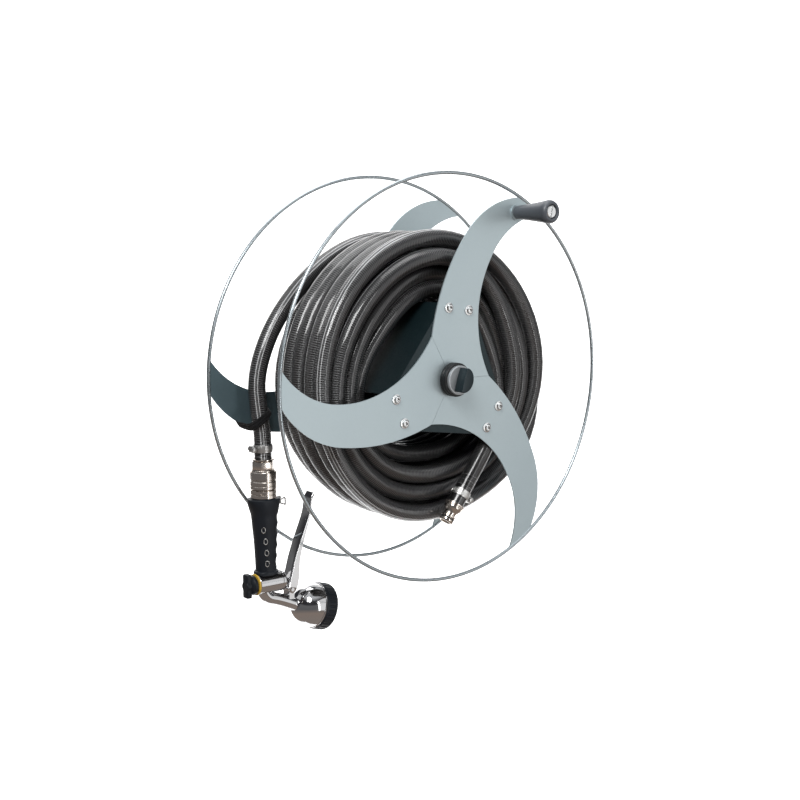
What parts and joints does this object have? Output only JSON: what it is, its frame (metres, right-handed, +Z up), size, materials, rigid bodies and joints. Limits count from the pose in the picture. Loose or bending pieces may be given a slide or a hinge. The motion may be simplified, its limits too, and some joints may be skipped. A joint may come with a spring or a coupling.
{
  "type": "hose reel",
  "caption": "Wall-mounted hose reel: wire rings on swirled steel arms, a crank, a coiled rubber hose and a trigger spray gun.",
  "frame": {"origin": "middle of the wall plate's back face, on the reel's axis", "axes": "+Z up, +Y into the wall, the reel stands out along -Y, +X to the right seen from the front"},
  "size_m": [0.5549, 0.3133, 0.6389],
  "materials": {
    "flange_steel": "satin zinc",
    "ring_wire": "bright zinc wire",
    "bracket_steel": "satin powder coat",
    "axle_steel": "turned",
    "bush_nylon": "natural nylon",
    "fastener_steel": "stainless",
    "grip_plastic": "moulded, satin",
    "knob_metal": "turned, bright edge",
    "hose_rubber": "dark grey hose, semi-gloss",
    "plated_brass": "nickel plated",
    "seal_rubber": "black rubber",
    "strap_fabric": "woven black",
    "gun_rubber": "soft black rubber",
    "gun_chrome": "polished",
    "ring_yellow": "yellow",
    "face_plastic": "dark grey"
  },
  "bodies": {
    "wall_bracket": {"wall_plate": "bracket_steel", "bracket_boss": "bracket_steel", "axle": "axle_steel", "thrust_washer": "bush_nylon"},
    "reel": {"front_arm_top": "flange_steel", "front_arm_left": "flange_steel", "front_arm_right": "flange_steel", "rear_arm_top": "flange_steel", "rear_arm_left": "flange_steel", "rear_arm_right": "flange_steel", "front_ring": "ring_wire", "rear_ring": "ring_wire", "drum_plate_right": "flange_steel", "drum_plate_left": "flange_steel", "drum_plate_low": "flange_steel", "hub_tube": "flange_steel", "front_hub_disc": "flange_steel", "rear_hub_disc": "flange_steel", "front_bush": "bush_nylon", "rear_bush": "bush_nylon", "front_screws": "fastener_steel", "rear_screws": "fastener_steel", "front_nuts": "fastener_steel", "rear_nuts": "fastener_steel", "crank_bolt": "fastener_steel", "crank_washer": "fastener_steel", "crank_nut": "fastener_steel", "hose_coil": "hose_rubber", "hose_outer_end": "hose_rubber", "hose_inner_end": "hose_rubber", "outer_hose_clamp": "fastener_steel", "inner_hose_clamp": "fastener_steel", "coupling_body": "plated_brass", "inlet_nipple": "plated_brass", "inlet_seal": "seal_rubber", "hose_strap": "strap_fabric"},
    "crank_grip": {"crank_grip": "grip_plastic"},
    "lock_knob": {"lock_knob_base": "grip_plastic", "lock_knob_cap": "knob_metal", "lock_knob_wing": "grip_plastic"},
    "coupling_sleeve": {"coupling_sleeve": "plated_brass"},
    "spray_gun": {"gun_inlet": "plated_brass", "gun_grip": "gun_rubber", "valve_chamber": "gun_chrome", "chamber_ring": "ring_yellow", "gun_neck": "gun_chrome", "gun_bell": "gun_chrome", "trigger_pin": "fastener_steel", "trigger_lugs": "gun_chrome"},
    "trigger": {"trigger_lever": "gun_chrome"},
    "valve_stem": {"valve_stem": "fastener_steel"},
    "flow_knob": {"flow_knob": "gun_rubber"},
    "spray_head": {"head_rim": "gun_rubber", "head_face": "face_plastic"},
    "lock_bail": {"lock_bail": "fastener_steel"}
  },
  "joints": [
    {"name": "reel_spin", "type": "hinge", "parent": "wall_bracket", "child": "reel", "pos_m": [0, 0, 0], "axis": [0, -1, 0], "continuous": true},
    {"name": "crank_grip_spin", "type": "hinge", "parent": "reel", "child": "crank_grip", "pos_m": [0.117, -0.28, 0.224], "axis": [0, -1, 0], "continuous": true},
    {"name": "lock_knob_turn", "type": "hinge", "parent": "wall_bracket", "child": "lock_knob", "pos_m": [0, -0.25, 0], "axis": [0, -1, 0], "range_deg": [0, 270]},
    {"name": "coupling_release", "type": "slide", "parent": "reel", "child": "coupling_sleeve", "axis": [0, 0, 1], "range_m": [0, 0.004], "stiffness_N_per_m": 800, "springref_m": -0.004},
    {"name": "gun_swivel", "type": "hinge", "parent": "reel", "child": "spray_gun", "pos_m": [-0.208, -0.096, -0.16], "axis": [0, 0, 1], "range_deg": [-60, 8]},
    {"name": "trigger_squeeze", "type": "hinge", "parent": "spray_gun", "child": "trigger", "pos_m": [-0.169, -0.096, -0.293], "axis": [0, -1, 0], "range_deg": [0, 15], "stiffness_Nm_per_rad": 2, "springref_deg": -20.05},
    {"name": "valve_travel", "type": "slide", "parent": "spray_gun", "child": "valve_stem", "axis": [-1, 0, 0], "range_m": [0, 0.0042]},
    {"name": "flow_turn", "type": "hinge", "parent": "spray_gun", "child": "flow_knob", "pos_m": [-0.23, -0.096, -0.279], "axis": [-1, 0, 0], "range_deg": [0, 270]},
    {"name": "head_turn", "type": "hinge", "parent": "spray_gun", "child": "spray_head", "pos_m": [-0.1275, -0.096, -0.325], "axis": [0.9613, 0, -0.2756], "continuous": true},
    {"name": "bail_swing", "type": "hinge", "parent": "spray_gun", "child": "lock_bail", "pos_m": [-0.19, -0.096, -0.17], "axis": [0, -1, 0], "range_deg": [-60, 30]}
  ],
  "couplings": [
    {"joint": "valve_travel", "follows": "trigger_squeeze", "m_per_rad": 0.014}
  ]
}
